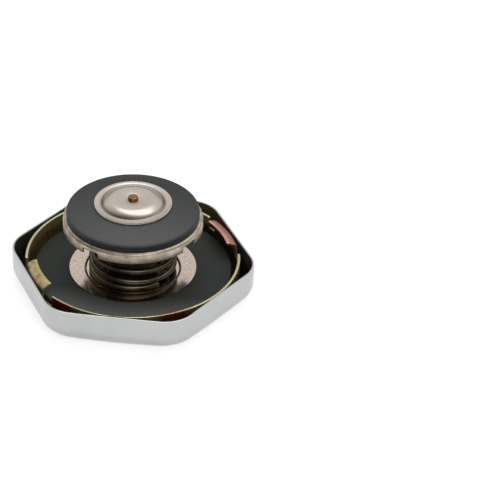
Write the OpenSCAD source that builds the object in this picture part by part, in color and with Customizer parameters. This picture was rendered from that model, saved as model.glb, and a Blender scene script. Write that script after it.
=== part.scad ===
// Radiator cap with a pressure and a vacuum valve, lying on its plated face with the valve side up.
// Millimetres. The origin is in the middle of the plated face, +Z points up through the valve,
// and two flats of the hexagonal cover face +Y and -Y.

/* [Cover] */
// Distance across the flats, outside
cover_flats = 71; // [66:0.5:80]
// Height of the cover from its plated face to its open edge
cover_height = 12; // [11:0.25:16]
// Thickness of the cover's sheet
cover_sheet = 0.8; // [0.5:0.1:1.2]
// Radius of the six upright corners, outside
cover_corner_r = 11; // [8:0.5:14]
// Height of the rounded edge between the plated face and the flats
cover_edge_height = 5.2; // [3:0.1:6]
// How far inside the flats the plated face's flat part ends
face_inset = 5.2; // [4.5:0.1:6]
// How much further the flat part reaches towards the corners
face_bulge = 1.2; // [0:0.1:2]

/* [Locking shell] */
// Gap between the shell's skirt and the cover's flats
shell_gap = 0.1; // [0.05:0.05:0.3]
// Thickness of the shell's sheet
shell_sheet = 0.9; // [0.6:0.1:1.2]
// How far the shell's edge lies below the cover's edge
shell_drop = 0.3; // [0:0.1:1]
// How much wider the bend above the shell's floor is than the cover's inside edge
shell_bend_gap = 1.1; // [0.8:0.1:2]
// Height of the raised boss in the middle of the shell's floor
boss_height = 2; // [1.6:0.1:2.6]
// Radius of the boss's flat top
boss_r = 7.5; // [6.5:0.25:9]

/* [Lugs] */
// Direction of the middle of the first gap in the skirt, with the other one opposite
lug_direction = 31.5; // [0:0.5:60]
// Angle that each lug takes up
lug_angle = 27; // [20:1:36]
// How far the lugs reach in from the skirt's outside
lug_reach = 3.8; // [3.2:0.1:4.6]
// Slope of the lugs up towards the middle
lug_slope = 23; // [10:1:30]
// Width of the strip along each lug's inner edge that is turned down
lug_strip = 0.8; // [0.7:0.1:1.4]
// Slope of that strip down towards the middle
lug_strip_slope = 14; // [0:1:20]
// Outside radius of the lugs' bends
lug_bend_r = 1.7; // [1.4:0.1:2.2]
// Height of the skirt that the cuts beside the lugs take away
lug_cut_depth = 4; // [3:0.1:4.5]
// Angle of the wide cut beside each lug
lug_notch_angle = 8; // [4:1:12]
// Angle of the narrow slit on the other side of each lug
lug_slit_angle = 5; // [1:0.5:6]

/* [Upper gasket and diaphragm] */
// Gap between the upper gasket's edge and the shell's skirt
neck_gasket_gap = 1.9; // [1.6:0.1:3]
// Inside radius of the upper gasket
neck_gasket_bore_r = 17; // [16.8:0.1:18.5]
// Thickness of the upper gasket
neck_gasket_thick = 2.4; // [1.8:0.1:3]
// Thickness of the diaphragm's spring steel
diaphragm_sheet = 0.4; // [0.3:0.05:0.6]
// How far the diaphragm's outer part stands above its clamped middle
diaphragm_rise = 0.75; // [0.5:0.05:1]
// How far inside the gasket's edge the diaphragm ends
diaphragm_inset = 0.5; // [0:0.1:2]
// Radius inside which the diaphragm lies flat on the boss
diaphragm_flat_r = 10; // [9.8:0.1:11]

/* [Spring seat] */
// Outside radius of the bright flange that holds the gasket down
seat_r = 20.45; // [19.5:0.05:21.5]
// Thickness of the seat's sheet
seat_sheet = 0.5; // [0.4:0.05:0.7]
// Depth of the pocket that the spring stands in
seat_pocket_depth = 0.7; // [0.5:0.05:1]
// Gap between the spring and the pocket's wall
seat_pocket_gap = 0.9; // [0.5:0.1:1.2]
// Radius of the hub that goes down to the rivet
seat_hub_r = 9.2; // [8.9:0.1:9.6]

/* [Rivet] */
// Radius of the rivet's shank through the shell
rivet_r = 2.5; // [2:0.1:2.8]
// Radius of the shoulder that the valve swivels on
rivet_shoulder_r = 3; // [2.9:0.05:3.4]
// Radius of the rivet's heads
rivet_head_r = 4.6; // [4.2:0.1:5.2]
// Height of the rivet's heads
rivet_head_height = 1.1; // [0.8:0.1:1.2]
// Thickness of the washer under the upper head
washer_thick = 0.6; // [0.5:0.1:0.8]
// Radius of the washer
washer_r = 6.2; // [5.5:0.1:6.6]

/* [Guide bell and plunger] */
// Outside radius of the plunger's tube
plunger_r = 5.6; // [5.2:0.1:5.8]
// Thickness of the plunger's sheet
plunger_sheet = 0.6; // [0.4:0.1:0.7]
// Outside radius of the plunger's lower flange
plunger_flange_r = 7.2; // [6.9:0.05:7.4]
// Radius of the plunger's flare on top of the pressure plate
plunger_flare_r = 7; // [6.6:0.1:8]
// Radius of the holes in the plunger's side
plunger_port_r = 1.2; // [0.8:0.1:1.4]
// Thickness of the bell's sheet
bell_sheet = 0.6; // [0.5:0.1:0.8]
// Travel of the pressure valve
pressure_travel = 6; // [4:0.5:6.5]
// Room left under the plunger at the end of its travel
plunger_room = 0.5; // [0.3:0.1:1]

/* [Pressure spring] */
// Outside radius of the pressure spring
spring_r = 14.2; // [13.8:0.05:14.6]
// Wire diameter of the pressure spring
spring_wire = 2.06; // [1.7:0.02:2.2]
// Turns of the pressure spring, with both closed ends
spring_turns = 5.8; // [5:0.1:6.4]
// Length of the pressure spring in the cap
spring_length = 20.75; // [19:0.25:23]
// Direction of the wire's lower end
spring_end_direction = -44; // [-180:1:180]

/* [Pressure plate] */
// Outside radius of the plate's skirt
plate_r = 22.35; // [21.8:0.05:23]
// Thickness of the plate's sheet
plate_sheet = 0.7; // [0.5:0.1:0.9]
// Height of the plate's skirt
plate_skirt_height = 3.6; // [3:0.1:4.5]
// Outside radius of the bend at the top of the skirt
plate_bend_r = 1.1; // [0.9:0.1:1.5]
// How far the middle of the plate stands above its outer part
plate_rise = 1.4; // [1:0.1:1.8]
// Number of notches in the skirt's lower edge
notch_count = 4; // [2:1:6]
// Direction of the first notch
notch_direction = 62; // [0:1:90]
// Angle of each notch
notch_angle = 15; // [8:1:20]
// Height of each notch
notch_height = 1.8; // [1:0.1:2.2]

/* [Pressure gasket] */
// Outside radius of the pressure gasket
seal_r = 21.3; // [20.5:0.05:21.5]
// Inside radius of the pressure gasket
seal_bore_r = 10.7; // [10.4:0.05:11]
// Thickness of the pressure gasket under the vacuum disc
seal_thick = 2.9; // [2.4:0.1:3.5]
// Height of the gasket's outer shoulder above the plate
seal_shoulder_height = 2.35; // [1.8:0.05:3]
// Radius of the gasket's outer edge
seal_edge_r = 0.9; // [0.4:0.1:1.2]

/* [Vacuum valve] */
// Outside radius of the vacuum disc
disc_r = 12.5; // [12:0.05:13]
// Thickness of the disc's sheet
disc_sheet = 0.5; // [0.4:0.05:0.6]
// Radius at the foot of the disc's dome
dome_foot_r = 10; // [9.9:0.05:10.2]
// Radius at the top of the disc's dome
dome_top_r = 8.2; // [6.5:0.1:8.2]
// Height of the disc's dome
dome_height = 1.75; // [1.2:0.05:2.2]
// Radius of the bend around the dome's top
dome_bend_r = 4.5; // [1:0.25:4.75]
// Width of the disc's ring that lies on the pressure gasket
lip_seat_width = 0.6; // [0.4:0.1:1]
// How far the disc's lip rises from there to its edge
lip_rise = 0.3; // [0.1:0.05:0.6]
// Radius of the vacuum stem
stem_r = 1.2; // [1:0.05:1.4]
// Radius of the stem's riveted head
stem_head_r = 1.6; // [1.5:0.05:2]
// Height of the stem's riveted head
stem_head_height = 0.7; // [0.5:0.05:1.2]
// Radius of the collar under the disc
stem_collar_r = 2.2; // [1.9:0.1:2.6]
// Height of the collar under the disc
stem_collar_height = 1.2; // [0.8:0.1:1.6]
// Height of the stem's upset lower end
stem_tail_height = 0.6; // [0.4:0.1:0.9]
// Thickness of the stem guide
guide_thick = 0.6; // [0.5:0.1:1]
// Radius of the vent holes in the stem guide
guide_vent_r = 0.8; // [0.5:0.1:0.9]
// Outside radius of the keeper on the stem's lower end
keeper_r = 3.9; // [3.6:0.1:4.2]
// Thickness of the keeper
keeper_thick = 0.8; // [0.6:0.1:1]
// Outside radius of the vacuum spring
light_spring_r = 3.5; // [3:0.1:3.8]
// Wire diameter of the vacuum spring
light_spring_wire = 0.5; // [0.4:0.05:0.6]
// Turns of the vacuum spring
light_spring_turns = 7; // [5:0.5:8]
// Length of the vacuum spring in the cap
light_spring_length = 9.2; // [8:0.1:9.5]

/* [Fits] */
// Radial clearance of pieces that slide or turn in one another
running_gap = 0.08; // [0.05:0.01:0.1]
// Radial clearance of pieces that are pressed or riveted together
tight_gap = 0.02; // [0.01:0.01:0.05]
// Play of the valve between the washer and the bell
swivel_play = 0.1; // [0.05:0.05:0.2]

/* [Hidden] */
$fn = 96;
// Straight steps in a bend, a crown and one turn of a spring, and sides of a spring's wire
bend_steps = 5;
crown_steps = 8;
spring_steps = 24;
wire_sides = 8;
// Straight steps across a wedge
wedge_steps = 8;
// Straight steps in the cover's corners, flats and rounded edge
corner_steps = 6;
flat_steps = 6;
edge_steps = 6;
// A little more than a cut needs, so that it leaves no skin
over = 1;

// Heights, from the plated face up
shell_floor_z = cover_sheet;
shell_rim_z = cover_height - shell_drop;
shell_cut_z = shell_rim_z - lug_cut_depth;
boss_under_z = shell_floor_z + boss_height;
diaphragm_z = boss_under_z + shell_sheet;
hub_z = diaphragm_z + diaphragm_sheet;
neck_gasket_z = hub_z + diaphragm_rise;
seat_flange_z = neck_gasket_z + neck_gasket_thick;
spring_z = seat_flange_z + seat_sheet - seat_pocket_depth;
bell_z = hub_z + seat_sheet;
washer_z = bell_z + bell_sheet + swivel_play;
rivet_head_z = washer_z + washer_thick;
plunger_z = rivet_head_z + rivet_head_height + pressure_travel + plunger_room;
bell_lip_z = plunger_z + plunger_sheet;
plate_under_z = spring_z + spring_length;
plate_top_z = plate_under_z + plate_sheet;
plate_rim_z = plate_top_z - plate_rise;
disc_z = plate_top_z + seal_thick;
dome_under_z = disc_z + dome_height;
guide_z = plate_under_z - guide_thick;
keeper_z = guide_z - light_spring_length - keeper_thick;
port_z = (bell_lip_z + bell_sheet + pressure_travel + guide_z)/2;

// Radii
face_r = cover_flats/2 - face_inset;
shell_r = cover_flats/2 - cover_sheet - shell_gap;
shell_bend_r = max(shell_r - face_r, cover_edge_height - cover_sheet) + shell_bend_gap;
neck_gasket_r = shell_r - shell_sheet - neck_gasket_gap;
diaphragm_r = neck_gasket_r - diaphragm_inset;
bell_bore_r = plunger_flange_r + running_gap;
bell_r = bell_bore_r + bell_sheet;
pocket_r = spring_r + seat_pocket_gap;
swivel_bore_r = rivet_shoulder_r + running_gap;
plunger_bore_r = plunger_r - plunger_sheet;
crown_r = disc_r + running_gap;
plate_bore_r = plunger_r + tight_gap;

// The plate's raised middle, which the pressure gasket lies on and the spring centres in
plate_slope = [
    [spring_r + seat_pocket_gap + 2*plate_rise, plate_rim_z, plate_bend_r],
    [spring_r + seat_pocket_gap, plate_top_z, plate_bend_r]
];

function unit(v) = v/norm(v);
function left_of(v) = [-v[1], v[0]];
function flat(p) = [p[0], p[1]];
function bend_radius(p) = len(p) > 2 ? p[2] : 0;
function reversed(list) = [for (i = [len(list) - 1:-1:0]) list[i]];

// The arc that rounds corner b of the path a, b, c
function corner(a, b, c, r) =
    r <= 0 ? [b] :
    let (u = unit(a - b), w = unit(c - b), half = acos(u*w)/2)
    let (centre = b + unit(u + w)*r/sin(half), p = b + u*r/tan(half) - centre, q = b + w*r/tan(half) - centre)
    let (first = atan2(p[1], p[0]), turn = (atan2(q[1], q[0]) - first + 540) % 360 - 180)
    [for (i = [0:bend_steps]) centre + r*[cos(first + turn*i/bend_steps), sin(first + turn*i/bend_steps)]];

// A path of [radius, height, bend radius] points with its bends turned into arcs
function bent(path) =
    let (last = len(path) - 1)
    [for (i = [0:last]) each
        i == 0 || i == last ? [flat(path[i])]
            : corner(flat(path[i - 1]), flat(path[i]), flat(path[i + 1]), bend_radius(path[i]))];

// The other side of a sheet that lies to the left of a path
function other_side(path, sheet) =
    let (last = len(path) - 1)
    [for (i = [0:last])
        let (d0 = unit(flat(path[max(i, 1)]) - flat(path[max(i, 1) - 1])))
        let (d1 = unit(flat(path[min(i, last - 1) + 1]) - flat(path[min(i, last - 1)])))
        let (n0 = left_of(d0), n1 = left_of(d1), p = flat(path[i]) + sheet*(n0 + n1)/(1 + n0*n1))
        let (r = bend_radius(path[i]), side = d0[0]*d1[1] - d0[1]*d1[0])
        [p[0], p[1], r <= 0 ? 0 : max(side > 0 ? r - sheet : r + sheet, 0)]];

// Section of a pressed sheet, drawn along one of its faces with the metal to the left
module sheet_section(path, sheet) {
    polygon(concat(bent(path), reversed(bent(other_side(path, sheet)))));
}

module pressed(path, sheet) {
    rotate_extrude() sheet_section(path, sheet);
}

module ring(outer_r, inner_r, z, height) {
    translate([0, 0, z]) difference() {
        cylinder(r = outer_r, h = height);
        translate([0, 0, -over]) cylinder(r = inner_r, h = height + 2*over);
    }
}

// Part of a turned section, from one direction over an angle
module sector(from, angle) {
    rotate([0, 0, from]) rotate_extrude(angle = angle) children();
}

// Centre line of a wound spring, with both end turns closing on their neighbours
function rise(t, turns, height, wire) =
    t < 1 ? wire*t*t :
    t > turns - 1 ? height - wire*(turns - t)*(turns - t) :
    wire + (height - 2*wire)*(t - 1)/(turns - 2);

// A left-hand wound spring that stands on z = 0
module wound_spring(outer_r, wire, turns, length, from) {
    steps = ceil(turns*spring_steps);
    mean_r = outer_r - wire/2;
    points = [
        for (i = [0:steps])
            let (t = turns*i/steps, a = from - 360*t, z = wire/2 + rise(t, turns, length - wire, wire))
            for (k = [0:wire_sides - 1])
                let (b = 360*k/wire_sides, r = mean_r + wire/2*cos(b))
                [r*cos(a), r*sin(a), z + wire/2*sin(b)]
    ];
    walls = [
        for (i = [0:steps - 1]) for (k = [0:wire_sides - 1])
            let (a = i*wire_sides + k, b = i*wire_sides + (k + 1) % wire_sides)
            [a, b, b + wire_sides, a + wire_sides]
    ];
    first_end = [[for (k = [0:wire_sides - 1]) wire_sides - 1 - k]];
    last_end = [[for (k = [0:wire_sides - 1]) steps*wire_sides + k]];
    polyhedron(points, concat(walls, first_end, last_end));
}

// Outline of a hexagon with round corners and flats on +Y and -Y
function hexagon(half_flats, corner_r) =
    let (core = (half_flats - corner_r)/cos(30))
    [for (i = [0:5]) each
        let (here = core*[cos(60*i), sin(60*i)], next = core*[cos(60*i + 60), sin(60*i + 60)])
        let (out = corner_r*[cos(60*i + 30), sin(60*i + 30)])
        concat(
            [for (k = [0:corner_steps])
                let (a = 60*i - 30 + 60*k/corner_steps)
                here + corner_r*[cos(a), sin(a)]],
            [for (k = [1:flat_steps - 1]) here + out + (next - here)*k/flat_steps]
        )];

// Edge of the flat face below a point of the cover's outline
function face_edge(p, half_flats, corner_r) =
    let (reach = (half_flats - corner_r)/cos(30) + corner_r)
    let (share = (norm(p) - half_flats)/(reach - half_flats))
    unit(p)*(face_r + face_bulge*share);

// One side of the cover's sheet, as rings from the flat face up to the open edge
function cover_rings(wall) =
    let (half_flats = cover_flats/2 - wall, corner_r = cover_corner_r - wall)
    let (outline = hexagon(half_flats, corner_r))
    concat(
        [for (j = [0:edge_steps])
            let (a = 90*j/edge_steps, z = wall + (cover_edge_height - wall)*(1 - cos(a)))
            [for (p = outline)
                let (f = face_edge(p, half_flats, corner_r), q = f + (p - f)*sin(a))
                [q[0], q[1], z]]],
        [[for (p = outline) [p[0], p[1], cover_height]]]
    );

module cover() {
    rings = concat(cover_rings(0), reversed(cover_rings(cover_sheet)));
    count = len(rings[0]);
    last = len(rings) - 1;
    walls = [
        for (j = [0:last - 1]) for (i = [0:count - 1])
            let (a = j*count + i, b = j*count + (i + 1) % count)
            [a, a + count, b + count, b]
    ];
    outside_face = [[for (i = [0:count - 1]) i]];
    inside_face = [[for (i = [0:count - 1]) last*count + count - 1 - i]];
    color("gainsboro") polyhedron([for (r = rings) each r], concat(walls, outside_face, inside_face));
}

// The room above a height, over an angle to both sides of a direction
module wedge(middle, angle, z) {
    far = 2*shell_r;
    fan = [
        for (i = [0:wedge_steps])
            let (a = middle + angle*(i/wedge_steps - 1/2))
            far*[cos(a), sin(a)]
    ];
    translate([0, 0, z]) linear_extrude(2*cover_height) polygon(concat([[0, 0]], fan));
}

module locking_shell() {
    pan_path = [
        [rivet_r + tight_gap, boss_under_z],
        [boss_r, boss_under_z, shell_sheet],
        [boss_r + boss_height, shell_floor_z, 2*shell_sheet],
        [shell_r, shell_floor_z, shell_bend_r],
        [shell_r, shell_rim_z]
    ];
    crest_r = shell_r - lug_reach + lug_strip;
    crest_z = shell_rim_z + (shell_r - crest_r)*tan(lug_slope);
    lug_path = [
        [shell_r, shell_cut_z],
        [shell_r, shell_rim_z, lug_bend_r],
        [crest_r, crest_z, lug_bend_r],
        [crest_r - lug_strip, crest_z - lug_strip*tan(lug_strip_slope)]
    ];
    opposite = lug_direction + 180;
    gap_angle = lug_angle + lug_notch_angle + lug_slit_angle;
    aside = (lug_notch_angle - lug_slit_angle)/2;
    color("darkkhaki") {
        difference() {
            pressed(pan_path, shell_sheet);
            wedge(lug_direction, gap_angle, shell_cut_z);
            wedge(opposite, gap_angle, shell_cut_z);
        }
        intersection() {
            pressed(lug_path, shell_sheet);
            union() {
                wedge(lug_direction + aside, lug_angle, 0);
                wedge(opposite - aside, lug_angle, 0);
            }
        }
    }
}

module diaphragm() {
    flat_from = neck_gasket_bore_r - diaphragm_sheet;
    path = [
        [rivet_r + tight_gap, diaphragm_z],
        [diaphragm_flat_r, diaphragm_z],
        [flat_from, diaphragm_z + diaphragm_rise],
        [diaphragm_r, diaphragm_z + diaphragm_rise]
    ];
    color("slategray") pressed(path, diaphragm_sheet);
}

module upper_gasket() {
    color("darkslategray") ring(neck_gasket_r, neck_gasket_bore_r, neck_gasket_z, neck_gasket_thick);
}

module centre_rivet() {
    foot_z = boss_under_z - rivet_head_height;
    top_z = rivet_head_z + rivet_head_height;
    edge_r = rivet_head_height/2;
    path = [
        [0, foot_z],
        [rivet_head_r, foot_z, edge_r],
        [rivet_head_r, boss_under_z],
        [rivet_r, boss_under_z],
        [rivet_r, hub_z],
        [rivet_shoulder_r, hub_z],
        [rivet_shoulder_r, rivet_head_z],
        [rivet_head_r, rivet_head_z],
        [rivet_head_r, top_z, edge_r],
        [0, top_z]
    ];
    color("silver") rotate_extrude() polygon(bent(path));
}

module rivet_washer() {
    color("silver") ring(washer_r, rivet_shoulder_r + tight_gap, washer_z, washer_thick);
}

module spring_seat() {
    pocket_under_z = spring_z - seat_sheet;
    hub_lean = seat_pocket_depth;
    path = [
        [swivel_bore_r, hub_z],
        [seat_hub_r, hub_z, seat_sheet],
        [seat_hub_r + hub_lean, pocket_under_z, seat_sheet],
        [pocket_r, pocket_under_z, seat_sheet],
        [pocket_r + seat_pocket_depth, seat_flange_z, seat_sheet],
        [seat_r, seat_flange_z]
    ];
    color("lightgray") pressed(path, seat_sheet);
}

module guide_bell() {
    top_z = bell_lip_z + bell_sheet;
    path = [
        [swivel_bore_r, bell_z],
        [bell_r, bell_z, 2*bell_sheet],
        [bell_r, top_z, bell_sheet],
        [plunger_r + running_gap, top_z]
    ];
    color("silver") pressed(path, bell_sheet);
}

module pressure_spring() {
    color("dimgray") translate([0, 0, spring_z])
        wound_spring(spring_r, spring_wire, spring_turns, spring_length, spring_end_direction);
}

module pressure_plate() {
    skirt_z = plate_rim_z - plate_skirt_height;
    path = concat(
        [[plate_r, skirt_z], [plate_r, plate_rim_z, plate_bend_r]],
        plate_slope,
        [[plate_bore_r, plate_top_z]]
    );
    color("lightgray") difference() {
        pressed(path, plate_sheet);
        for (k = [0:notch_count - 1])
            sector(notch_direction + 360*k/notch_count - notch_angle/2, notch_angle)
                translate([plate_r - 2*plate_sheet, skirt_z - over]) square([3*plate_sheet, notch_height + over]);
    }
}

// Section of the pressure gasket: it lies on the plate's slope and its top is part of a large ball
module seal_section() {
    shoulder = [seal_r, plate_rim_z + seal_shoulder_height];
    ball_z = (shoulder*shoulder - crown_r*crown_r - disc_z*disc_z)/(2*(shoulder[1] - disc_z));
    ball_r = norm([crown_r, disc_z - ball_z]);
    crown = [
        for (i = [0:crown_steps])
            let (r = crown_r + (seal_r - crown_r)*i/crown_steps)
            [r, ball_z + sqrt(ball_r*ball_r - r*r)]
    ];
    foot = [seal_r, plate_rim_z];
    polygon(concat(
        bent(concat([foot], plate_slope, [[seal_bore_r, plate_top_z]])),
        [[seal_bore_r, disc_z]],
        [for (i = [0:crown_steps - 1]) crown[i]],
        corner(crown[crown_steps - 1], crown[crown_steps], foot, seal_edge_r)
    ));
}

module pressure_gasket() {
    color("darkslategray") rotate_extrude() seal_section();
}

module plunger() {
    path = [
        [plunger_flange_r, bell_lip_z],
        [plunger_r, bell_lip_z],
        [plunger_r, plate_top_z],
        [plunger_flare_r, plate_top_z]
    ];
    color("silver") difference() {
        pressed(path, plunger_sheet);
        for (a = [0, 90]) translate([0, 0, port_z]) rotate([90, 0, a])
            cylinder(r = plunger_port_r, h = 2*plunger_r + 2*over, center = true);
    }
}

module stem_guide() {
    vent_circle_r = (plunger_bore_r + stem_r)/2;
    color("silver") difference() {
        ring(plunger_bore_r - tight_gap, stem_r + running_gap, guide_z, guide_thick);
        for (a = [45:90:315]) rotate([0, 0, a]) translate([vent_circle_r, 0, guide_z - over])
            cylinder(r = guide_vent_r, h = guide_thick + 2*over);
    }
}

module vacuum_spring() {
    color("dimgray") translate([0, 0, keeper_z + keeper_thick])
        wound_spring(light_spring_r, light_spring_wire, light_spring_turns, light_spring_length, 0);
}

module vacuum_disc() {
    path = [
        [stem_r + tight_gap, dome_under_z],
        [dome_top_r, dome_under_z, dome_bend_r],
        [dome_foot_r, disc_z, 2*disc_sheet],
        [seal_bore_r + lip_seat_width, disc_z, disc_sheet],
        [disc_r, disc_z + lip_rise]
    ];
    color("silver") pressed(path, disc_sheet);
}

module vacuum_stem() {
    tail_z = keeper_z - stem_tail_height;
    seat_z = dome_under_z + disc_sheet;
    head_z = seat_z + stem_head_height;
    path = [
        [0, tail_z],
        [stem_head_r, tail_z],
        [stem_head_r, keeper_z],
        [stem_r, keeper_z],
        [stem_r, dome_under_z - stem_collar_height],
        [stem_collar_r, dome_under_z - stem_collar_height],
        [stem_collar_r, dome_under_z],
        [stem_r, dome_under_z],
        [stem_r, seat_z],
        [stem_head_r, seat_z],
        [stem_head_r, head_z, stem_head_height/2],
        [0, head_z]
    ];
    color("peru") rotate_extrude() polygon(bent(path));
}

module stem_keeper() {
    color("silver") ring(keeper_r, stem_r + tight_gap, keeper_z, keeper_thick);
}

cover();
locking_shell();
diaphragm();
upper_gasket();
centre_rivet();
rivet_washer();
spring_seat();
guide_bell();
pressure_spring();
pressure_plate();
pressure_gasket();
plunger();
stem_guide();
vacuum_spring();
vacuum_disc();
vacuum_stem();
stem_keeper();
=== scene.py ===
import bpy
import bmesh
import math
from mathutils import Matrix, Vector


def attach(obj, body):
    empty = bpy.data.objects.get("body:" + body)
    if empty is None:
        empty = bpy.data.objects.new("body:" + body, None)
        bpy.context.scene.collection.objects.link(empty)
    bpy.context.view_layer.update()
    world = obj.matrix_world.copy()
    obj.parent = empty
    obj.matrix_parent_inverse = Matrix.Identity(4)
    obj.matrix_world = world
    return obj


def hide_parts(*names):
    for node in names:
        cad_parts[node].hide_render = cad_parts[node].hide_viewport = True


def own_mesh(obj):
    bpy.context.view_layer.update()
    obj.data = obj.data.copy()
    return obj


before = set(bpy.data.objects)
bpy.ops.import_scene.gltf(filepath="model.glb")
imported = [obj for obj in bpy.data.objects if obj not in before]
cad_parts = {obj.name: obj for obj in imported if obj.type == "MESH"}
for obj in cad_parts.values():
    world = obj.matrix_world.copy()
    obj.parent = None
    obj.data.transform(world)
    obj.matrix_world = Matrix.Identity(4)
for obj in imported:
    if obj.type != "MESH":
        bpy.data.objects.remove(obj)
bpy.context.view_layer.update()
mm = 0.001
weld = 0.002 * mm  # points closer than this are one point
scene = bpy.context.scene
print("frame loaded:", len(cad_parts), "pieces of the cap")


# small helpers for shader trees

def newMaterial(name, metallic=0.0):
    material = bpy.data.materials.new(name)
    material.use_nodes = True
    tree = material.node_tree
    shader = tree.nodes["Principled BSDF"]
    shader.inputs["Metallic"].default_value = metallic
    return material, tree, shader


def feed(tree, value, socket):
    # a socket takes either another node's output or a fixed value
    if isinstance(value, bpy.types.NodeSocket):
        tree.links.new(value, socket)
    else:
        socket.default_value = value


def objectCoords(tree, scale=(1, 1, 1)):
    coords = tree.nodes.new("ShaderNodeTexCoord")
    mapping = tree.nodes.new("ShaderNodeMapping")
    mapping.inputs["Scale"].default_value = scale
    tree.links.new(coords.outputs["Object"], mapping.inputs["Vector"])
    return mapping.outputs["Vector"]


def splitCoords(tree, vector):
    parts = tree.nodes.new("ShaderNodeSeparateXYZ")
    tree.links.new(vector, parts.inputs[0])
    return parts.outputs["X"], parts.outputs["Y"], parts.outputs["Z"]


def joinCoords(tree, first, second):
    joined = tree.nodes.new("ShaderNodeCombineXYZ")
    tree.links.new(first, joined.inputs["X"])
    tree.links.new(second, joined.inputs["Y"])
    return joined.outputs[0]


def radiusAndHeight(tree):
    # distance of each point from the cap's axis, and its height
    x, y, z = splitCoords(tree, objectCoords(tree))
    length = tree.nodes.new("ShaderNodeVectorMath")
    length.operation = "LENGTH"
    tree.links.new(joinCoords(tree, x, y), length.inputs[0])
    return length.outputs["Value"], z


def turnedCoords(tree):
    # the same everywhere round the axis, so that marks run round it as a lathe leaves them
    return joinCoords(tree, *radiusAndHeight(tree))


def noise(tree, vector, scale, detail=3, rough=0.5):
    node = tree.nodes.new("ShaderNodeTexNoise")
    node.inputs["Scale"].default_value = scale
    node.inputs["Detail"].default_value = detail
    node.inputs["Roughness"].default_value = rough
    tree.links.new(vector, node.inputs["Vector"])
    return node.outputs["Fac"]


def ramp(tree, value, stops):
    node = tree.nodes.new("ShaderNodeValToRGB")
    elements = node.color_ramp.elements
    while len(elements) < len(stops):
        elements.new(0.5)
    for element, (place, colour) in zip(elements, stops):
        element.position = place
        element.color = (*colour, 1)
    tree.links.new(value, node.inputs["Fac"])
    return node.outputs["Color"]


def stretch(tree, value, low, high, toLow=0, toHigh=1):
    node = tree.nodes.new("ShaderNodeMapRange")
    for name, number in zip(("From Min", "From Max", "To Min", "To Max"), (low, high, toLow, toHigh)):
        node.inputs[name].default_value = number
    tree.links.new(value, node.inputs["Value"])
    return node.outputs["Result"]


def between(tree, distance, start, end, most=1):
    # 0 at one distance in mm, and rising to the most at another
    return stretch(tree, distance, start * mm, end * mm, 0, most)


def combine(tree, operation, first, second):
    node = tree.nodes.new("ShaderNodeMath")
    node.operation = operation
    feed(tree, first, node.inputs[0])
    feed(tree, second, node.inputs[1])
    return node.outputs[0]


def product(tree, first, second):
    return combine(tree, "MULTIPLY", first, second)


def mix(tree, factor, first, second, kind="RGBA"):
    # kind is RGBA for colours and VALUE for plain numbers
    node = tree.nodes.new("ShaderNodeMix")
    node.data_type = "RGBA" if kind == "RGBA" else "FLOAT"
    tree.links.new(factor, node.inputs["Factor"])
    for name, value in (("A", first), ("B", second)):
        target = [s for s in node.inputs if s.name == name and s.type == kind][0]
        feed(tree, (*value, 1) if isinstance(value, tuple) else value, target)
    return [s for s in node.outputs if s.type == kind][0]


def roughness(tree, shader, value, levels, spread=(0.3, 0.7)):
    # the two levels stand at the two ends of the noise's spread
    tree.links.new(stretch(tree, value, *spread, *levels), shader.inputs["Roughness"])


def bump(tree, shader, height, depth, strength):
    # depth in mm
    node = tree.nodes.new("ShaderNodeBump")
    node.inputs["Distance"].default_value = depth * mm
    node.inputs["Strength"].default_value = strength
    tree.links.new(height, node.inputs["Height"])
    tree.links.new(node.outputs["Normal"], shader.inputs["Normal"])


# masks that say where on a piece a mark lies, all in mm

def nearPoint(tree, point, inside, outside):
    gap = tree.nodes.new("ShaderNodeVectorMath")
    gap.operation = "DISTANCE"
    gap.inputs[1].default_value = [c * mm for c in point]
    tree.links.new(objectCoords(tree), gap.inputs[0])
    return between(tree, gap.outputs["Value"], outside, inside)


def ringMask(tree, inner, outer, soft):
    radius = radiusAndHeight(tree)[0]
    begins = between(tree, radius, inner - soft, inner)
    ends = between(tree, radius, outer + soft, outer)
    return product(tree, begins, ends)


def paintedFrontLight(tree, unlitDistance, dustyAndLit):
    # painted light: lighter towards the front, where more light falls; both are distances to the front of the
    # axis
    return between(tree, splitCoords(tree, objectCoords(tree))[1], -unlitDistance, -dustyAndLit)


# painted shade: the rubber is darker down its side, below the top
def paintedSideShade(tree, top, foot):
    return between(tree, radiusAndHeight(tree)[1], top, foot)


# finishes

chromeLook = {
    "tint": [(0.35, (0.54, 0.546, 0.55)), (0.7, (0.595, 0.60, 0.602))],
    "rough": (0.07, 0.16), "smear": (1, 1, 3),
}


def chromeFinish():
    material, tree, shader = newMaterial("chromeBright", metallic=1)
    cloud = noise(tree, objectCoords(tree), scale=60, detail=2)
    tree.links.new(ramp(tree, cloud, chromeLook["tint"]), shader.inputs["Base Color"])
    smear = noise(tree, objectCoords(tree, chromeLook["smear"]), scale=220, detail=5, rough=0.6)
    roughness(tree, shader, smear, chromeLook["rough"], spread=(0.3, 0.75))
    bump(tree, shader, noise(tree, objectCoords(tree), scale=900, detail=2), depth=0.01, strength=0.35)
    return material


insideLook = {
    "patches": [(0.36, (0.022, 0.024, 0.019)), (0.54, (0.040, 0.039, 0.031)), (0.70, (0.066, 0.050, 0.036))],
    # the brown patch near one corner of the inside is a painted reflection of the yellow pan
    "paintedPanReflection": (19, 33, 9), "paintedPanReflectionReach": (8, 18), "brown": (0.115, 0.068, 0.036),
    "rough": (0.3, 0.5),
}


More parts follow.
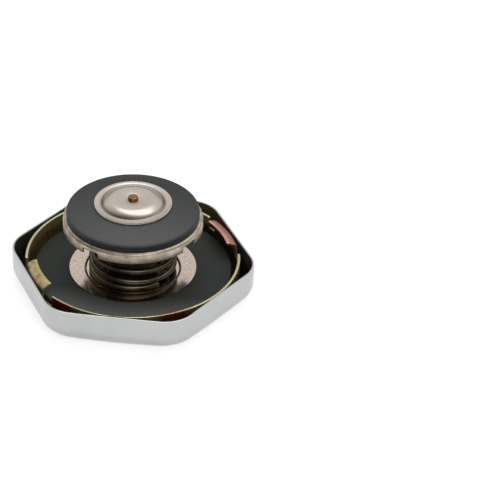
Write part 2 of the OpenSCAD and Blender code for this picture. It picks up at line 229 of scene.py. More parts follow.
def coverInsideFinish():
    material, tree, shader = newMaterial("coverInside", metallic=0.5)
    patch = noise(tree, objectCoords(tree), scale=70, detail=4, rough=0.6)
    # painted reflection of the yellow pan, mixed in near one corner
    paintedPanReflection = nearPoint(tree, insideLook["paintedPanReflection"], *insideLook["paintedPanReflectionReach"])
    colour = mix(tree, paintedPanReflection, ramp(tree, patch, insideLook["patches"]), insideLook["brown"])
    tree.links.new(colour, shader.inputs["Base Color"])
    roughness(tree, shader, patch, insideLook["rough"])
    bump(tree, shader, noise(tree, objectCoords(tree), scale=1500), depth=0.02, strength=0.4)
    return material


zincLook = {
    "straw": [(0.30, (0.40, 0.42, 0.20)), (0.48, (0.54, 0.52, 0.29)), (0.70, (0.56, 0.46, 0.27))],
    "lugFrom": (10.8, 11.8), "lugReach": (7, 10),
    # the pink and sandy tones on the two lugs are painted reflections, and the lime strip on the sandy lug is
    # a painted highlight
    "pinkLug": (27, 17, 12.5), "pink": [(0.36, (0.50, 0.235, 0.17)), (0.62, (0.66, 0.345, 0.275))],
    "sandyLug": (-30, -17, 12), "sandy": [(0.36, (0.31, 0.225, 0.11)), (0.62, (0.60, 0.475, 0.26))],
    "highlightStripFrom": (31.9, 31.5), "lime": (0.46, 0.425, 0.15),
    # the pan is painted darker towards its floor: painted shade
    "paintedShadingFrom": (10.2, 7.8), "paintedShadingMost": 0.8, "paintedShading": (0.15, 0.135, 0.045),
    # the gold patch on the inner wall at the back left is painted light and reflection
    "litWallCentre": (-28, 18, 9.5), "litWallReach": (10, 20), "litWallFrom": (11.6, 11.2), "gold": (0.56, 0.43, 0.17),
    "redCorners": ((-18, -30, 8), (18, -30, 8)), "redReach": (4, 9), "redFrom": (34.3, 34.5),
    "red": (0.26, 0.055, 0.025),
    "rough": (0.24, 0.42),
}


def zincFinish():
    material, tree, shader = newMaterial("zincYellow", metallic=0.9)
    radius, height = radiusAndHeight(tree)
    drift = noise(tree, objectCoords(tree), scale=55, detail=3, rough=0.55)
    mottle = noise(tree, objectCoords(tree), scale=380, detail=4, rough=0.65)
    onLug = between(tree, height, *zincLook["lugFrom"])
    # painted reflections on the two lugs, and a painted highlight along the sandy lug's inner strip
    besidePinkReflection = nearPoint(tree, zincLook["pinkLug"], *zincLook["lugReach"])
    besideSandyReflection = nearPoint(tree, zincLook["sandyLug"], *zincLook["lugReach"])
    onHighlightStrip = between(tree, radius, *zincLook["highlightStripFrom"])
    # painted shade, darker towards the pan's floor
    shadedLowDown = between(tree, height, *zincLook["paintedShadingFrom"], zincLook["paintedShadingMost"])
    # painted light and reflection on the inner wall at the back left, below the rim
    besideLitWall = nearPoint(tree, zincLook["litWallCentre"], *zincLook["litWallReach"])
    underRim = between(tree, height, *zincLook["litWallFrom"])
    outside = between(tree, radius, *zincLook["redFrom"])
    colour = ramp(tree, drift, zincLook["straw"])
    colour = mix(tree, product(tree, besidePinkReflection, onLug), colour, ramp(tree, mottle, zincLook["pink"]))
    colour = mix(tree, product(tree, besideSandyReflection, onLug), colour, ramp(tree, mottle, zincLook["sandy"]))
    colour = mix(tree, product(tree, besideSandyReflection, onHighlightStrip), colour, zincLook["lime"])
    colour = mix(tree, shadedLowDown, colour, zincLook["paintedShading"])
    colour = mix(tree, product(tree, besideLitWall, underRim), colour, zincLook["gold"])
    for corner in zincLook["redCorners"]:
        besideRed = nearPoint(tree, corner, *zincLook["redReach"])
        colour = mix(tree, product(tree, besideRed, outside), colour, zincLook["red"])
    tree.links.new(colour, shader.inputs["Base Color"])
    grain = noise(tree, objectCoords(tree), scale=700, detail=4, rough=0.6)
    roughness(tree, shader, grain, zincLook["rough"])
    bump(tree, shader, grain, depth=0.02, strength=0.5)
    return material


rubberLook = {
    "specular": 0.24, "roughStep": 0.12,
    "dustGain": 2.2, "dustSpread": (0.62, 0.8), "dustMost": 0.35,
}


def rubberFinish(name, dark, pale, gloss, marks):
    # each mark is a mask, its two limits and its colour
    material, tree, shader = newMaterial(name)
    cloud = noise(tree, objectCoords(tree), scale=90, detail=4, rough=0.6)
    speck = noise(tree, objectCoords(tree), scale=2600, detail=2)
    colour = ramp(tree, cloud, [(0.3, dark), (0.75, pale)])
    for mask, start, end, tint in marks:
        colour = mix(tree, mask(tree, start, end), colour, tint)
    dust = tuple(c * rubberLook["dustGain"] for c in pale)
    dustyAndLit = stretch(tree, speck, *rubberLook["dustSpread"], 0, rubberLook["dustMost"])
    tree.links.new(mix(tree, dustyAndLit, colour, dust), shader.inputs["Base Color"])
    roughness(tree, shader, cloud, (gloss, gloss + rubberLook["roughStep"]))
    shader.inputs["Specular IOR Level"].default_value = rubberLook["specular"]
    bump(tree, shader, noise(tree, objectCoords(tree), scale=1800), depth=0.03, strength=0.35)
    return material


def pressedSteelFinish(name, dark, pale, smooth, dull, ringDepth, patch=130, paintedShading=None):
    # a painted shading is a ring's inner and outer radius, its soft edge and its colour
    material, tree, shader = newMaterial(name, metallic=1)
    cloud = noise(tree, objectCoords(tree), scale=patch, detail=4, rough=0.6)
    colour = ramp(tree, cloud, [(0.3, dark), (0.72, pale)])
    if paintedShading:
        inner, outer, soft, tint = paintedShading
        colour = mix(tree, ringMask(tree, inner, outer, soft), colour, tint)
    tree.links.new(colour, shader.inputs["Base Color"])
    roughness(tree, shader, cloud, (dull, smooth), spread=(0.3, 0.72))
    rings = noise(tree, turnedCoords(tree), scale=1500, detail=4, rough=0.65)
    bump(tree, shader, rings, depth=ringDepth, strength=0.6)
    return material


def wireFinish(name, dark, pale, smooth, dull):
    material, tree, shader = newMaterial(name, metallic=1)
    cloud = noise(tree, objectCoords(tree), scale=160)
    tree.links.new(ramp(tree, cloud, [(0.32, dark), (0.7, pale)]), shader.inputs["Base Color"])
    roughness(tree, shader, cloud, (smooth, dull))
    bump(tree, shader, noise(tree, objectCoords(tree), scale=2200), depth=0.01, strength=0.15)
    return material


brassLook = {
    "tarnish": [(0.3, (0.19, 0.085, 0.026)), (0.6, (0.34, 0.175, 0.062)), (0.8, (0.46, 0.27, 0.115))],
    "rough": (0.4, 0.26),
}


def brassFinish():
    material, tree, shader = newMaterial("stemCopperBrass", metallic=1)
    tarnish = noise(tree, objectCoords(tree), scale=900, detail=4, rough=0.6)
    tree.links.new(ramp(tree, tarnish, brassLook["tarnish"]), shader.inputs["Base Color"])
    roughness(tree, shader, tarnish, brassLook["rough"])
    bump(tree, shader, noise(tree, objectCoords(tree), scale=3000, detail=2), depth=0.02, strength=0.5)
    return material


finishes = {
    "chrome": chromeFinish(),
    "inside": coverInsideFinish(),
    "zinc": zincFinish(),
    # both rubber rings are painted lighter towards the front, as painted light
    "neckRubber": rubberFinish(
        "neckRubberMatt", dark=(0.020, 0.024, 0.021), pale=(0.031, 0.036, 0.032), gloss=0.55,
        marks=[(paintedFrontLight, 14, 28, (0.128, 0.136, 0.127))]),
    "sealRubber": rubberFinish(
        "sealRubberMoulded", dark=(0.020, 0.023, 0.021), pale=(0.030, 0.034, 0.031), gloss=0.4,
        marks=[(paintedFrontLight, -14, 18, (0.080, 0.084, 0.082)), (paintedSideShade, 29.5, 28.7, (0.009, 0.009, 0.008))]),
    # the seat is painted dark inside the spring, as painted shade under the spring and plate
    "brightSteel": pressedSteelFinish(
        "seatBright", dark=(0.50, 0.42, 0.345), pale=(0.73, 0.63, 0.535), smooth=0.09, dull=0.17,
        ringDepth=0.002, patch=1200, paintedShading=(0, 13.2, 0.7, (0.050, 0.044, 0.033))),
    "valveSteel": pressedSteelFinish(
        "plateSatin", dark=(0.35, 0.28, 0.2), pale=(0.73, 0.635, 0.52), smooth=0.32, dull=0.5,
        ringDepth=0.012, patch=330),
    # the disc is painted darker in the groove round the dome's foot, as painted shade
    "discSteel": pressedSteelFinish(
        "discSatin", dark=(0.52, 0.465, 0.405), pale=(0.62, 0.56, 0.49), smooth=0.22, dull=0.31,
        ringDepth=0.006, paintedShading=(9.75, 10.35, 0.6, (0.34, 0.305, 0.26))),
    "springSteel": pressedSteelFinish(
        "diaphragmSteel", dark=(0.20, 0.20, 0.21), pale=(0.30, 0.30, 0.31), smooth=0.3, dull=0.42,
        ringDepth=0.006),
    # plain steel painted darker than it is, as painted shade for the parts deep in the valve
    "rivetSteel": pressedSteelFinish(
        "rivetPlain", dark=(0.15, 0.14, 0.115), pale=(0.25, 0.235, 0.20), smooth=0.36, dull=0.48,
        ringDepth=0.008),
    "springWire": wireFinish(
        "springTempered", dark=(0.080, 0.069, 0.045), pale=(0.22, 0.188, 0.124), smooth=0.26, dull=0.36),
    "lightWire": wireFinish(
        "vacuumSpringWire", dark=(0.40, 0.39, 0.38), pale=(0.56, 0.55, 0.53), smooth=0.22, dull=0.35),
    "brass": brassFinish(),
}
print("finishes made:", len(finishes))


# bmesh helpers

def bendOffset(before, at, after, radius):
    back = (Vector(before[:2]) - Vector(at[:2])).normalized()
    ahead = (Vector(after[:2]) - Vector(at[:2])).normalized()
    return radius / math.tan(back.angle(ahead) / 2)


def drawProfile(bm, path, bendSegments=8):
    # path points are (radius, height) or (radius, height, bend radius) in mm, drawn in the XZ plane
    verts = [bm.verts.new((p[0] * mm, 0, p[1] * mm)) for p in path]
    for a, b in zip(verts, verts[1:]):
        bm.edges.new((a, b))
    bends = [(verts[i], bendOffset(path[i - 1], path[i], path[i + 1], path[i][2]))
             for i in range(1, len(path) - 1) if len(path[i]) > 2]
    for vert, offset in bends:
        bmesh.ops.bevel(bm, geom=[vert], offset=offset * mm, offset_type="OFFSET", segments=bendSegments,
                        profile=0.5, affect="VERTICES", material=-1)


def turnAbout(bm, verts, angle, axis="Z"):
    bmesh.ops.rotate(bm, verts=verts, cent=(0, 0, 0), matrix=Matrix.Rotation(math.radians(angle), 3, axis))


def spinProfile(bm, steps, start=0.0, sweep=360.0):
    turnAbout(bm, bm.verts, start)
    bmesh.ops.spin(bm, geom=bm.verts[:] + bm.edges[:], cent=(0, 0, 0), axis=(0, 0, 1),
                   angle=math.radians(sweep), steps=steps, use_merge=sweep == 360.0)
    bmesh.ops.remove_doubles(bm, verts=bm.verts, dist=weld)
    bmesh.ops.recalc_face_normals(bm, faces=bm.faces)


def faceAway(bm, path):
    # the metal lies to the left of the path, so the skin has to look to its right
    (r0, z0), (r1, z1) = path[0][:2], path[1][:2]
    right = Vector((z1 - z0, r0 - r1)).normalized()
    middle = Vector(((r0 + r1) / 2, (z0 + z1) / 2)) * mm

    def awayFromMiddle(face):
        centre = face.calc_center_median()
        return (Vector((centre.xy.length, centre.z)) - middle).length

    nearest = min(bm.faces, key=awayFromMiddle)
    outward = nearest.calc_center_median().xy.normalized()
    look = Vector((nearest.normal.xy.dot(outward), nearest.normal.z))
    if look.dot(right) < 0:
        bmesh.ops.reverse_faces(bm, faces=bm.faces)


def thicken(bm, path, thick):
    faceAway(bm, path)
    bmesh.ops.solidify(bm, geom=bm.faces[:], thickness=thick * mm)


def roundEdges(bm, width, segments=2, limit=50):
    sharp = [e for e in bm.edges if e.is_manifold and e.calc_face_angle() > math.radians(limit)]
    bmesh.ops.bevel(bm, geom=sharp, offset=width * mm, offset_type="OFFSET", segments=segments, profile=0.5,
                    affect="EDGES", clamp_overlap=True, material=-1)


def shade(bm, limit=38):
    for face in bm.faces:
        face.smooth = True
    for edge in bm.edges:
        if edge.is_manifold and edge.calc_face_angle() > math.radians(limit):
            edge.smooth = False


def makePiece(name, bm, finishNames, body, node):
    shade(bm)
    mesh = bpy.data.meshes.new(name)
    bm.to_mesh(mesh)
    bm.free()
    for finishName in finishNames:
        mesh.materials.append(finishes[finishName])
    piece = bpy.data.objects.new(name, mesh)
    scene.collection.objects.link(piece)
    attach(piece, body)
    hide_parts(node)
    print("made", name, len(mesh.polygons), "faces")
    return piece


def pressedSheet(sheet, steps=144):
    # the path is the sheet's one side, and the metal lies to its left
    bm = bmesh.new()
    drawProfile(bm, sheet["path"])
    spinProfile(bm, steps)
    thicken(bm, sheet["path"], sheet["sheet"])
    roundEdges(bm, sheet["edge"])
    return bm


def turnedSolid(path, edge=0, steps=96):
    # a closed section, or one whose ends lie on the axis
    bm = bmesh.new()
    closed = path[0][0] > 0
    drawProfile(bm, path + [path[0]] if closed else path)
    spinProfile(bm, steps)
    if edge > 0:
        roundEdges(bm, edge)
    return bm


def punch(bm, flatten, place, radius):
    # takes the faces inside a circle out of a skin and draws the rim onto the circle
    inside = [f for f in bm.faces if flatten(f.calc_center_median()).length < radius]
    rim = {v for f in inside for v in f.verts}
    bmesh.ops.delete(bm, geom=inside, context="FACES")
    for v in rim:
        if v.is_valid:
            v.co = place(flatten(v.co).normalized() * radius)


def direction(face):
    # degrees round the axis, from 0 to 360
    middle = face.calc_center_median()
    return math.degrees(math.atan2(middle.y, middle.x)) % 360


# cover: hexagonal pressing with a nearly round face

cover = {
    "flats": 71.0, "height": 12.0, "sheet": 0.8, "cornerRadius": 11.0,
    "edgeHeight": 5.2, "faceInset": 5.2, "faceBulge": 1.2, "faceRing": 0.5,
    "cornerSteps": 14, "flatCuts": 17, "edgeSteps": 14,
    "rimBand": 0.01, "rimCuts": 2, "rimRound": 0.15,
}
halfFlats = cover["flats"] / 2
cornerCentre = (halfFlats - cover["cornerRadius"]) / math.cos(math.pi / 6)


def hexagonLoop(bm, z):
    ends = []
    for i in range(6):
        turn = math.radians(60 * i)
        centre = Vector((math.cos(turn), math.sin(turn), 0)) * cornerCentre * mm
        centre.z = z * mm
        first = turn - math.radians(30)
        spoke = Vector((math.cos(first), math.sin(first), 0)) * cover["cornerRadius"] * mm
        vert = bm.verts.new(centre + spoke)
        made = bmesh.ops.spin(bm, geom=[vert], cent=centre, axis=(0, 0, 1), angle=math.radians(60),
                              steps=cover["cornerSteps"])
        ends.append((vert, [v for v in made["geom_last"] if isinstance(v, bmesh.types.BMVert)][0]))
    flats = [bm.edges.new((ends[i][1], ends[(i + 1) % 6][0])) for i in range(6)]
    bmesh.ops.subdivide_edges(bm, edges=flats, cuts=cover["flatCuts"])


def coverSkin():
    bm = bmesh.new()
    hexagonLoop(bm, cover["height"])
    faceRadius = halfFlats - cover["faceInset"]
    reach = cornerCentre + cover["cornerRadius"]
    # each height has its share of the way from the flat face out to the side
    heights = [(cover["edgeHeight"], 1.0)]
    for j in range(cover["edgeSteps"] - 1, -1, -1):
        a = math.pi / 2 * j / cover["edgeSteps"]
        heights.append((cover["edgeHeight"] * (1 - math.cos(a)), math.sin(a)))
    loop = bm.edges[:]
    rimPlace = {v: v.co.xy.copy() for v in bm.verts}
    for z, share in heights:
        made = bmesh.ops.extrude_edge_only(bm, edges=loop)["geom"]
        verts = [g for g in made if isinstance(g, bmesh.types.BMVert)]
        loop = [g for g in made if isinstance(g, bmesh.types.BMEdge)]
        places = {}
        for v in verts:
            above = [e.other_vert(v) for e in v.link_edges if e.other_vert(v) in rimPlace][0]
            rim = rimPlace[above]
            bulge = (rim.length / mm - halfFlats) / (reach - halfFlats)
            flatEdge = rim.normalized() * (faceRadius + cover["faceBulge"] * bulge) * mm
            place = flatEdge + (rim - flatEdge) * share
            v.co = (place.x, place.y, z * mm)
            places[v] = rim
        rimPlace = places
    face = bmesh.ops.edgeloop_fill(bm, edges=loop)["faces"]
    bmesh.ops.inset_region(bm, faces=face, thickness=cover["faceRing"] * mm, use_even_offset=True)
    bmesh.ops.recalc_face_normals(bm, faces=bm.faces)
    return bm


def makeCover():
    bm = coverSkin()
    plated = set(bm.faces)
    bmesh.ops.solidify(bm, geom=bm.faces[:], thickness=cover["sheet"] * mm)
    rimZ = (cover["height"] - cover["rimBand"]) * mm

    def onRim(face):
        return min(v.co.z for v in face.verts) > rimZ

    def besideInside(face):
        return any(other not in plated and not onRim(other) for e in face.edges for other in e.link_faces)

    rim = {f for f in bm.faces if onRim(f)}
    across = [e for e in bm.edges if len(e.link_faces) == 2 and set(e.link_faces) <= rim]
    bmesh.ops.subdivide_edges(bm, edges=across, cuts=cover["rimCuts"], use_grid_fill=True)
    for face in bm.faces:
        bright = face in plated or (onRim(face) and not besideInside(face))
        face.material_index = 0 if bright else 1
    roundEdges(bm, cover["rimRound"])
    makePiece("coverPressing", bm, ["chrome", "inside"], "cap_body", "cover")


makeCover()


# locking shell: turned pan, windows beside the lugs and the lugs themselves

shell = {
    "radius": 34.6, "sheet": 0.9, "floor": 0.8, "bend": 5.5, "rim": 11.7, "cut": 7.7, "edge": 0.18,
    "bore": 2.52, "bossRadius": 7.5, "bossUnder": 2.8, "bossBend": 0.9, "bossFoot": 9.5, "bossFootBend": 1.8,
    "lugs": (33, 210), "lugAngle": 27, "lugTip": 30.8, "lugSlope": 23, "lugBend": 1.7,
    "lugStrip": 0.8, "stripSlope": 14, "gaps": ((11.5, 51.5), (191.5, 231.5)),
    "steps": 360, "start": 0.5, "weld": 0.01,
}


def addLugs(bm, path):
    for lug in shell["lugs"]:
        tab = bmesh.new()
        drawProfile(tab, path)
        spinProfile(tab, shell["lugAngle"], lug - shell["lugAngle"] / 2, shell["lugAngle"])
        tabMesh = bpy.data.meshes.new("lugTab")
        tab.to_mesh(tabMesh)
        tab.free()
        bm.from_mesh(tabMesh)
        bpy.data.meshes.remove(tabMesh)
    bmesh.ops.remove_doubles(bm, verts=bm.verts, dist=shell["weld"] * mm)
    bmesh.ops.recalc_face_normals(bm, faces=bm.faces)


def makeShell():
    panPath = [
        (shell["bore"], shell["bossUnder"]),
        (shell["bossRadius"], shell["bossUnder"], shell["bossBend"]),
        (shell["bossFoot"], shell["floor"], shell["bossFootBend"]),
        (shell["radius"], shell["floor"], shell["bend"]),
        (shell["radius"], shell["cut"]),
        (shell["radius"], shell["rim"]),
    ]
    crestR = shell["lugTip"] + shell["lugStrip"]
    crestZ = shell["rim"] + (shell["radius"] - crestR) * math.tan(math.radians(shell["lugSlope"]))
    tipZ = crestZ - shell["lugStrip"] * math.tan(math.radians(shell["stripSlope"]))
    lugPath = [
        (shell["radius"], shell["cut"]),
        (shell["radius"], shell["rim"], shell["lugBend"]),
        (crestR, crestZ, shell["lugBend"]),
        (shell["lugTip"], tipZ),
    ]

    def inGap(face):
        high = face.calc_center_median().z > shell["cut"] * mm
        return high and any(a < direction(face) < b for a, b in shell["gaps"])

    bm = bmesh.new()
    drawProfile(bm, panPath)
    spinProfile(bm, shell["steps"], shell["start"])
    bmesh.ops.delete(bm, geom=[f for f in bm.faces if inGap(f)], context="FACES")
    addLugs(bm, lugPath)
    thicken(bm, panPath, shell["sheet"])
    roundEdges(bm, shell["edge"])
    makePiece("lockingShellPan", bm, ["zinc"], "cap_body", "locking_shell")


makeShell()


# diaphragm and upper gasket

diaphragm = {"sheet": 0.4, "edge": 0.08, "path": [(2.52, 3.7), (10, 3.7, 3), (16.6, 4.45, 3), (31.3, 4.45)]}
makePiece("diaphragmDisc", pressedSheet(diaphragm), ["springSteel"], "cap_body", "diaphragm")

neckGasket = {
    "edge": 0.35, "steps": 144,
    "path": [(17.0, 4.85), (31.8, 4.85), (31.8, 7.25), (17.0, 7.25)],
}
neckRing = turnedSolid(neckGasket["path"], neckGasket["edge"], neckGasket["steps"])
makePiece("upperGasketRing", neckRing, ["neckRubber"], "cap_body", "upper_gasket")


# rivet and its washer

rivet = {
    "path": [(0, 1.7), (4.6, 1.7, 0.55), (4.6, 2.8), (2.5, 2.8), (2.5, 4.1), (3, 4.1), (3, 5.9), (4.6, 5.9),
             (4.6, 7, 0.55), (0, 7)],
}
makePiece("centreRivetTurned", turnedSolid(rivet["path"]), ["rivetSteel"], "cap_body", "centre_rivet")

washer = {"edge": 0.1, "path": [(3.02, 5.3), (6.2, 5.3), (6.2, 5.9), (3.02, 5.9)]}
makePiece("rivetWasherRing", turnedSolid(washer["path"], washer["edge"]), ["rivetSteel"], "cap_body",
          "rivet_washer")


# spring seat and guide bell

seat = {
    "sheet": 0.5, "edge": 0.12,
    "path": [(3.08, 4.1), (9.2, 4.1, 0.5), (9.9, 6.55, 0.5), (15.1, 6.55, 0.5), (15.8, 7.25, 0.5),
             (20.45, 7.25)],
}
seatRing = pressedSheet(seat)
bmesh.ops.dissolve_degenerate(seatRing, edges=seatRing.edges, dist=weld)  # bends as tight as the sheet
makePiece("springSeatRing", seatRing, ["brightSteel"], "valve_carrier", "spring_seat")

bell = {"sheet": 0.6, "edge": 0.12, "path": [(3.08, 4.6), (7.88, 4.6, 1.2), (7.88, 14.7, 0.6), (5.68, 14.7)]}
makePiece("guideBellCup", pressedSheet(bell), ["rivetSteel"], "valve_carrier", "guide_bell")


# springs

pressureSpring = {
    "radius": 14.2, "wire": 2.06, "turns": 5.8, "length": 20.75, "foot": 7.05, "from": -44, "travel": 6.0,
    "steps": 48, "sides": 20,
}
vacuumSpring = {
    "radius": 3.5, "wire": 0.5, "turns": 7.0, "length": 9.2, "foot": 18.0, "from": 0, "travel": 1.5,
    "steps": 32, "sides": 10,
}
wireEndRound = 0.08  # share of the wire's diameter


def springRise(t, spring):
    # both end turns rise slowly, so that they lie closed
    height = spring["length"] - spring["wire"]
    if t < 1:
        return spring["wire"] * t * t
    if t > spring["turns"] - 1:
        return height - spring["wire"] * (spring["turns"] - t) ** 2
    return spring["wire"] + (height - 2 * spring["wire"]) * (t - 1) / (spring["turns"] - 2)


def woundSpring(spring):
    bm = bmesh.new()
    wireR = spring["wire"] / 2
    mean = spring["radius"] - wireR
    verts = bmesh.ops.create_circle(bm, cap_ends=False, radius=wireR * mm, segments=spring["sides"])["verts"]
    turnAbout(bm, verts, 90, "X")
    bmesh.ops.translate(bm, verts=verts, vec=(mean * mm, 0, (spring["foot"] + wireR) * mm))
    turnAbout(bm, verts, spring["from"])
    ring = bm.verts[:] + bm.edges[:]
    steps = round(spring["turns"] * spring["steps"])
    rises = [springRise(spring["turns"] * i / steps, spring) for i in range(steps + 1)]
    for low, high in zip(rises, rises[1:]):
        made = bmesh.ops.spin(bm, geom=ring, cent=(0, 0, 0), axis=(0, 0, 1), dvec=(0, 0, (high - low) * mm),
                              angle=-2 * math.pi * spring["turns"] / steps, steps=1)
        ring = made["geom_last"]
    bmesh.ops.holes_fill(bm, edges=[e for e in bm.edges if e.is_boundary], sides=0)
    bmesh.ops.recalc_face_normals(bm, faces=bm.faces)
    roundEdges(bm, spring["wire"] * wireEndRound)
    return bm


mainCoil = makePiece("pressureSpringCoil", woundSpring(pressureSpring), ["springWire"], "valve_carrier",
                     "pressure_spring")
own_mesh(mainCoil)
lightCoil = makePiece("vacuumSpringCoil", woundSpring(vacuumSpring), ["lightWire"], "pressure_valve",
                      "vacuum_spring")
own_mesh(lightCoil)


# pressure plate with its notched skirt

plate = {
    "radius": 22.35, "sheet": 0.7, "skirt": 23.5, "rim": 27.1, "top": 28.5, "bend": 1.1, "bore": 5.62,
    "slope": (17.9, 15.1), "edge": 0.15, "steps": 360,
    "notches": 4, "notchFrom": 62, "notchAngle": 15, "notchHeight": 1.8,
}


def makePlate():
    notchTop = plate["skirt"] + plate["notchHeight"]
    path = [
        (plate["radius"], plate["skirt"]),
        (plate["radius"], notchTop),
        (plate["radius"], plate["rim"], plate["bend"]),
        (plate["slope"][0], plate["rim"], plate["bend"]),
        (plate["slope"][1], plate["top"], plate["bend"]),
        (plate["bore"], plate["top"]),
    ]
    start = plate["notchFrom"] - plate["notchAngle"] / 2

    def inNotch(face):
        low = face.calc_center_median().z < notchTop * mm
        return low and (direction(face) - start) % (360 / plate["notches"]) < plate["notchAngle"]

    bm = bmesh.new()
    drawProfile(bm, path)
    spinProfile(bm, plate["steps"], start)
    bmesh.ops.delete(bm, geom=[f for f in bm.faces if inNotch(f)], context="FACES")
    bmesh.ops.recalc_face_normals(bm, faces=bm.faces)
    thicken(bm, path[2:], plate["sheet"])  # the stretch above the notches is whole all round
    roundEdges(bm, plate["edge"])
    makePiece("pressurePlatePan", bm, ["valveSteel"], "pressure_valve", "pressure_plate")


makePlate()


# pressure gasket: a rubber ring with a crowned top, which lies on the plate

seal = {
    "outer": 21.3, "inner": 10.7, "crownFrom": 12.58, "shoulder": 29.45, "top": 31.4,
    "edge": 0.9, "innerEdge": 0.3, "crownSteps": 10, "steps": 144,
}


def makeSeal():
    shoulderR, shoulderZ = seal["outer"], seal["shoulder"]
    crownR, crownZ = seal["crownFrom"], seal["top"]
    ballZ = (shoulderR ** 2 + shoulderZ ** 2 - crownR ** 2 - crownZ ** 2) / (2 * (shoulderZ - crownZ))
    ballR = math.hypot(crownR, crownZ - ballZ)
    path = [
        (seal["outer"], plate["rim"]),
        (plate["slope"][0], plate["rim"], plate["bend"]),
        (plate["slope"][1], plate["top"], plate["bend"]),
        (seal["inner"], plate["top"]),
        (seal["inner"], seal["top"], seal["innerEdge"]),
    ]
    for i in range(seal["crownSteps"] + 1):
        r = crownR + (shoulderR - crownR) * i / seal["crownSteps"]
        z = ballZ + math.sqrt(ballR ** 2 - r ** 2)
        path.append((r, z, seal["edge"]) if i == seal["crownSteps"] else (r, z))
    ring = turnedSolid(path, steps=seal["steps"])
    makePiece("pressureGasketRing", ring, ["sealRubber"], "pressure_valve", "pressure_gasket")


makeSeal()


# plunger, stem guide, keeper

plunger = {
    "sheet": 0.6, "edge": 0.12, "radius": 5.6, "flange": (7.2, 14.1), "flare": (7.0, 28.5), "steps": 144,
    "ports": (0, 90, 180, 270), "portZ": 23.95, "portRadius": 1.2, "portBand": 1.5, "portRows": 14,
}


def makePlunger():
    radius, portZ, band, rows = plunger["radius"], plunger["portZ"], plunger["portBand"], plunger["portRows"]
    path = [plunger["flange"], (radius, plunger["flange"][1])]
    path += [(radius, portZ - band + 2 * band * i / rows) for i in range(rows + 1)]
    path += [(radius, plunger["flare"][1]), plunger["flare"]]
    bm = bmesh.new()
    drawProfile(bm, path)
    spinProfile(bm, plunger["steps"])
    for port in plunger["ports"]:
        turn = math.radians(port)

        def flatten(p):
            swing = math.remainder(math.atan2(p.y, p.x) - turn, 2 * math.pi)
            return Vector((swing * radius * mm, p.z - portZ * mm))

        def place(q):
            swing = turn + q.x / (radius * mm)
            return Vector((radius * mm * math.cos(swing), radius * mm * math.sin(swing), q.y + portZ * mm))

        punch(bm, flatten, place, plunger["portRadius"] * mm)
    thicken(bm, path, plunger["sheet"])
    roundEdges(bm, plunger["edge"], segments=1, limit=70)
    makePiece("plungerTube", bm, ["rivetSteel"], "pressure_valve", "plunger")


makePlunger()

guide = {
    "inner": 1.28, "outer": 4.98, "under": 27.2, "thick": 0.6, "rows": 20, "steps": 120, "edge": 0.06,
    "vents": (45, 135, 225, 315), "ventCircle": 3.1, "ventRadius": 0.8,
}


def makeGuide():
    path = [(guide["inner"] + (guide["outer"] - guide["inner"]) * i / guide["rows"], guide["under"])
            for i in range(guide["rows"] + 1)]
    bm = bmesh.new()
    drawProfile(bm, path)
    spinProfile(bm, guide["steps"])
    for vent in guide["vents"]:
        turn = math.radians(vent)
        middle = Vector((math.cos(turn), math.sin(turn))) * guide["ventCircle"] * mm

        def flatten(p):
            return p.xy - middle

        def place(q):
            return Vector((*(q + middle), guide["under"] * mm))

        punch(bm, flatten, place, guide["ventRadius"] * mm)
    thicken(bm, path, guide["thick"])
    roundEdges(bm, guide["edge"], segments=1, limit=70)
    makePiece("stemGuideWasher", bm, ["rivetSteel"], "pressure_valve", "stem_guide")


makeGuide()

keeper = {"edge": 0.1, "path": [(1.22, 17.2), (3.9, 17.2), (3.9, 18.0), (1.22, 18.0)]}
makePiece("stemKeeperWasher", turnedSolid(keeper["path"], keeper["edge"]), ["rivetSteel"], "vacuum_valve",
          "stem_keeper")


# vacuum disc and stem

disc = {
    "sheet": 0.5, "edge": 0.12,
    "path": [(1.22, 33.15), (8.2, 33.15, 4.5), (10.0, 31.4, 1.0), (11.3, 31.4, 0.5), (12.5, 31.7)],
}
makePiece("vacuumDiscDome", pressedSheet(disc), ["discSteel"], "vacuum_valve", "vacuum_disc")

stem = {
    "steps": 64,
    "path": [(0, 16.6), (1.6, 16.6, 0.25), (1.6, 17.2), (1.2, 17.2), (1.2, 31.95), (2.2, 31.95), (2.2, 33.15),
             (1.2, 33.15), (1.2, 33.65), (1.6, 33.65), (1.6, 34.35, 0.35), (0, 34.35)],
}
makePiece("vacuumStemPin", turnedSolid(stem["path"], steps=stem["steps"]), ["brass"], "vacuum_valve",
          "vacuum_stem")
print("pieces made")


# floor, light and camera

paper = {
    "half": 4, "drop": 0.02,  # in metres and in mm
    "colour": (0.6, 0.6, 0.6, 1), "rough": 0.9, "lift": 0.64, "mirrorShare": 0.66,
}
white = (1, 1, 1, 1)


def makeFloor():
    bm = bmesh.new()
    bmesh.ops.create_grid(bm, x_segments=1, y_segments=1, size=paper["half"])
    bmesh.ops.translate(bm, verts=bm.verts, vec=(0, 0, -paper["drop"] * mm))
    mesh = bpy.data.meshes.new("paleFloor")
    bm.to_mesh(mesh)
    bm.free()
    floor = bpy.data.objects.new("paleFloor", mesh)
    scene.collection.objects.link(floor)
    material, tree, shader = newMaterial("paleFloorPaper")
    shader.inputs["Base Color"].default_value = paper["colour"]
    shader.inputs["Roughness"].default_value = paper["rough"]
    shader.inputs["Specular IOR Level"].default_value = 0
    shader.inputs["Emission Color"].default_value = white
    # the camera and glass see the whole lift to white, and mirrors a share of it
    path = tree.nodes.new("ShaderNodeLightPath")
    mirrored = product(tree, path.outputs["Is Glossy Ray"], paper["mirrorShare"])
    seen = combine(tree, "MAXIMUM", path.outputs["Is Camera Ray"], mirrored)
    seen = combine(tree, "MAXIMUM", seen, path.outputs["Is Transmission Ray"])
    tree.links.new(product(tree, seen, paper["lift"]), shader.inputs["Emission Strength"])
    mesh.materials.append(material)


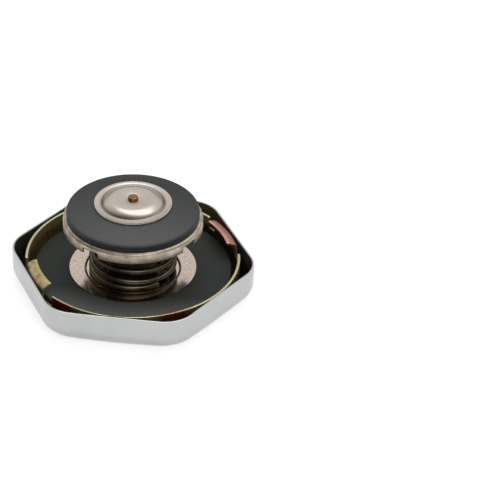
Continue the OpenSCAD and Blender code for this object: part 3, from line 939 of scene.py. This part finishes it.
studio = {
    "towards": (0.2, 0.97, 0.1), "farSide": (-0.3, 0.5), "heights": (0.06, 0.46),
    "dim": 0.12, "bright": 0.85, "diffuse": 0.54,
}


def makeWorld():
    # white to the camera; metal sees a bright far side and a dim side behind the camera
    world = bpy.data.worlds.new("studioWhite")
    world.use_nodes = True
    scene.world = world
    tree = world.node_tree
    coords = tree.nodes.new("ShaderNodeTexCoord")
    along = tree.nodes.new("ShaderNodeVectorMath")
    along.operation = "DOT_PRODUCT"
    along.inputs[1].default_value = Vector(studio["towards"]).normalized()
    tree.links.new(coords.outputs["Generated"], along.inputs[0])
    height = splitCoords(tree, coords.outputs["Generated"])[2]
    farSide = stretch(tree, along.outputs["Value"], *studio["farSide"])
    lit = product(tree, farSide, stretch(tree, height, *studio["heights"]))
    mirrored = stretch(tree, lit, 0, 1, studio["dim"], studio["bright"])
    path = tree.nodes.new("ShaderNodeLightPath")
    strength = studio["diffuse"]
    for ray, level in (("Is Glossy Ray", mirrored), ("Is Transmission Ray", 1.0), ("Is Camera Ray", 1.0)):
        strength = mix(tree, path.outputs[ray], strength, level, kind="VALUE")
    background = tree.nodes["Background"]
    background.inputs["Color"].default_value = white
    tree.links.new(strength, background.inputs["Strength"])


lamps = {  # places and sizes in metres
    "overheadBox": {"place": (0.1, 0.38, 1.06), "size": (1.1, 0.75), "power": 3.0},
    "frontBox": {"place": (0.3, -0.85, 0.8), "size": (1.2, 0.35), "power": 3.6},
}
lampAim = (0, 0, 0.015)


def makeLamp(name, lamp):
    data = bpy.data.lights.new(name, "AREA")
    data.shape = "ELLIPSE"
    data.size, data.size_y = lamp["size"]
    data.energy = lamp["power"]
    box = bpy.data.objects.new(name, data)
    box.location = lamp["place"]
    box.rotation_mode = "QUATERNION"
    box.rotation_quaternion = (Vector(lamp["place"]) - Vector(lampAim)).to_track_quat("Z", "Y")
    scene.collection.objects.link(box)


view = {
    "imagePixels": 480, "focalPixels": 2527, "sensor": 36, "clip": (0.01, 20),  # clip in metres
    "distance": 820.48, "aside": (-34.78, -14.75),  # in mm
    "pitch": 33.63, "roll": 1.79, "turn": 6.43,  # in degrees
}


def makeCamera():
    pitch, roll = math.radians(view["pitch"]), math.radians(view["roll"])
    right = Vector((1, 0, 0))
    back = Vector((0, -math.cos(pitch), math.sin(pitch)))
    up = Vector((0, math.sin(pitch), math.cos(pitch)))
    across = right * math.cos(roll) + up * math.sin(roll)
    upward = up * math.cos(roll) - right * math.sin(roll)
    place = back * view["distance"] - across * view["aside"][0] - upward * view["aside"][1]
    turn = Matrix.Rotation(math.radians(view["turn"]), 3, "Z")
    axes = Matrix([turn @ across, turn @ upward, turn @ back]).transposed().to_4x4()
    data = bpy.data.cameras.new("photoCamera")
    data.sensor_width = view["sensor"]
    data.lens = view["sensor"] * view["focalPixels"] / view["imagePixels"]
    data.clip_start, data.clip_end = view["clip"]
    camera = bpy.data.objects.new("photoCamera", data)
    camera.matrix_world = Matrix.Translation(turn @ place * mm) @ axes
    scene.collection.objects.link(camera)
    scene.camera = camera


makeFloor()
makeWorld()
for lampName, lampFacts in lamps.items():
    makeLamp(lampName, lampFacts)
makeCamera()
scene.view_settings.view_transform = "Standard"
print("floor, light and camera made")
